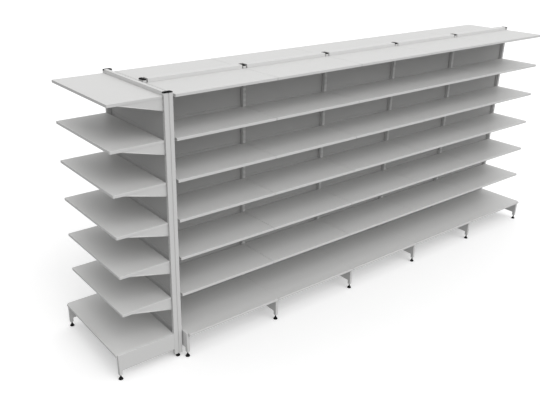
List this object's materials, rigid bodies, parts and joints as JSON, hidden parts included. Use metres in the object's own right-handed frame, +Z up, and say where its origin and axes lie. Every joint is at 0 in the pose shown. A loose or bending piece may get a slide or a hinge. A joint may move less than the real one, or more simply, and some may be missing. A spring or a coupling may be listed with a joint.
{
  "type": "gondola shelving unit",
  "caption": "Double-sided run of steel gondola shelving with back-to-back shelves on slotted posts, an end unit facing off its left end, and levelling feet.",
  "frame": {"origin": "centre of the object's outline on the floor", "axes": "+X along the run away from the end unit, +Y to the far side, +Z up"},
  "size_m": [5.729, 1.21, 2.3933],
  "materials": {
    "post_paint": "satin light grey powder coat",
    "shelf_paint": "satin light grey powder coat",
    "panel_paint": "satin light grey powder coat",
    "cap_plastic": "moulded black plastic",
    "foot_plastic": "moulded black plastic"
  },
  "bodies": {
    "frame": {"upright_1": "post_paint", "upright_2": "post_paint", "upright_3": "post_paint", "upright_4": "post_paint", "upright_5": "post_paint", "upright_6": "post_paint", "end_upright_near": "post_paint", "end_upright_far": "post_paint", "cap_1": "cap_plastic", "cap_2": "cap_plastic", "cap_3": "cap_plastic", "cap_4": "cap_plastic", "cap_5": "cap_plastic", "cap_6": "cap_plastic", "end_cap_near": "cap_plastic", "end_cap_far": "cap_plastic", "base_shelf_near": "shelf_paint", "shelf_2_near": "shelf_paint", "shelf_3_near": "shelf_paint", "shelf_4_near": "shelf_paint", "shelf_5_near": "shelf_paint", "shelf_6_near": "shelf_paint", "shelf_7_near": "shelf_paint", "base_shelf_far": "shelf_paint", "shelf_2_far": "shelf_paint", "shelf_3_far": "shelf_paint", "shelf_4_far": "shelf_paint", "shelf_5_far": "shelf_paint", "shelf_6_far": "shelf_paint", "shelf_7_far": "shelf_paint", "end_base_shelf": "shelf_paint", "end_shelf_2": "shelf_paint", "end_shelf_3": "shelf_paint", "end_shelf_4": "shelf_paint", "end_shelf_5": "shelf_paint", "end_shelf_6": "shelf_paint", "end_shelf_7": "shelf_paint", "centre_panel_1": "panel_paint", "centre_panel_2": "panel_paint", "centre_panel_3": "panel_paint", "centre_panel_4": "panel_paint", "centre_panel_5": "panel_paint", "end_panel": "panel_paint", "end_rail": "panel_paint"},
    "foot_1_near_body": {"foot_1_near": "foot_plastic"},
    "foot_1_far_body": {"foot_1_far": "foot_plastic"},
    "foot_2_near_body": {"foot_2_near": "foot_plastic"},
    "foot_2_far_body": {"foot_2_far": "foot_plastic"},
    "foot_3_near_body": {"foot_3_near": "foot_plastic"},
    "foot_3_far_body": {"foot_3_far": "foot_plastic"},
    "foot_4_near_body": {"foot_4_near": "foot_plastic"},
    "foot_4_far_body": {"foot_4_far": "foot_plastic"},
    "foot_5_near_body": {"foot_5_near": "foot_plastic"},
    "foot_5_far_body": {"foot_5_far": "foot_plastic"},
    "foot_6_near_body": {"foot_6_near": "foot_plastic"},
    "foot_6_far_body": {"foot_6_far": "foot_plastic"},
    "end_foot_near_body": {"end_foot_near": "foot_plastic"},
    "end_foot_far_body": {"end_foot_far": "foot_plastic"},
    "end_post_foot_near_body": {"end_post_foot_near": "foot_plastic"},
    "end_post_foot_far_body": {"end_post_foot_far": "foot_plastic"}
  },
  "joints": [
    {"name": "foot_1_near_height", "type": "slide", "parent": "frame", "child": "foot_1_near_body", "axis": [0, 0, 1], "range_m": [-0.02, 0.02]},
    {"name": "foot_1_far_height", "type": "slide", "parent": "frame", "child": "foot_1_far_body", "axis": [0, 0, 1], "range_m": [-0.02, 0.02]},
    {"name": "foot_2_near_height", "type": "slide", "parent": "frame", "child": "foot_2_near_body", "axis": [0, 0, 1], "range_m": [-0.02, 0.02]},
    {"name": "foot_2_far_height", "type": "slide", "parent": "frame", "child": "foot_2_far_body", "axis": [0, 0, 1], "range_m": [-0.02, 0.02]},
    {"name": "foot_3_near_height", "type": "slide", "parent": "frame", "child": "foot_3_near_body", "axis": [0, 0, 1], "range_m": [-0.02, 0.02]},
    {"name": "foot_3_far_height", "type": "slide", "parent": "frame", "child": "foot_3_far_body", "axis": [0, 0, 1], "range_m": [-0.02, 0.02]},
    {"name": "foot_4_near_height", "type": "slide", "parent": "frame", "child": "foot_4_near_body", "axis": [0, 0, 1], "range_m": [-0.02, 0.02]},
    {"name": "foot_4_far_height", "type": "slide", "parent": "frame", "child": "foot_4_far_body", "axis": [0, 0, 1], "range_m": [-0.02, 0.02]},
    {"name": "foot_5_near_height", "type": "slide", "parent": "frame", "child": "foot_5_near_body", "axis": [0, 0, 1], "range_m": [-0.02, 0.02]},
    {"name": "foot_5_far_height", "type": "slide", "parent": "frame", "child": "foot_5_far_body", "axis": [0, 0, 1], "range_m": [-0.02, 0.02]},
    {"name": "foot_6_near_height", "type": "slide", "parent": "frame", "child": "foot_6_near_body", "axis": [0, 0, 1], "range_m": [-0.02, 0.02]},
    {"name": "foot_6_far_height", "type": "slide", "parent": "frame", "child": "foot_6_far_body", "axis": [0, 0, 1], "range_m": [-0.02, 0.02]},
    {"name": "end_foot_near_height", "type": "slide", "parent": "frame", "child": "end_foot_near_body", "axis": [0, 0, 1], "range_m": [-0.02, 0.02]},
    {"name": "end_foot_far_height", "type": "slide", "parent": "frame", "child": "end_foot_far_body", "axis": [0, 0, 1], "range_m": [-0.02, 0.02]},
    {"name": "end_post_foot_near_height", "type": "slide", "parent": "frame", "child": "end_post_foot_near_body", "axis": [0, 0, 1], "range_m": [-0.02, 0.003]},
    {"name": "end_post_foot_far_height", "type": "slide", "parent": "frame", "child": "end_post_foot_far_body", "axis": [0, 0, 1], "range_m": [-0.02, 0.003]}
  ]
}
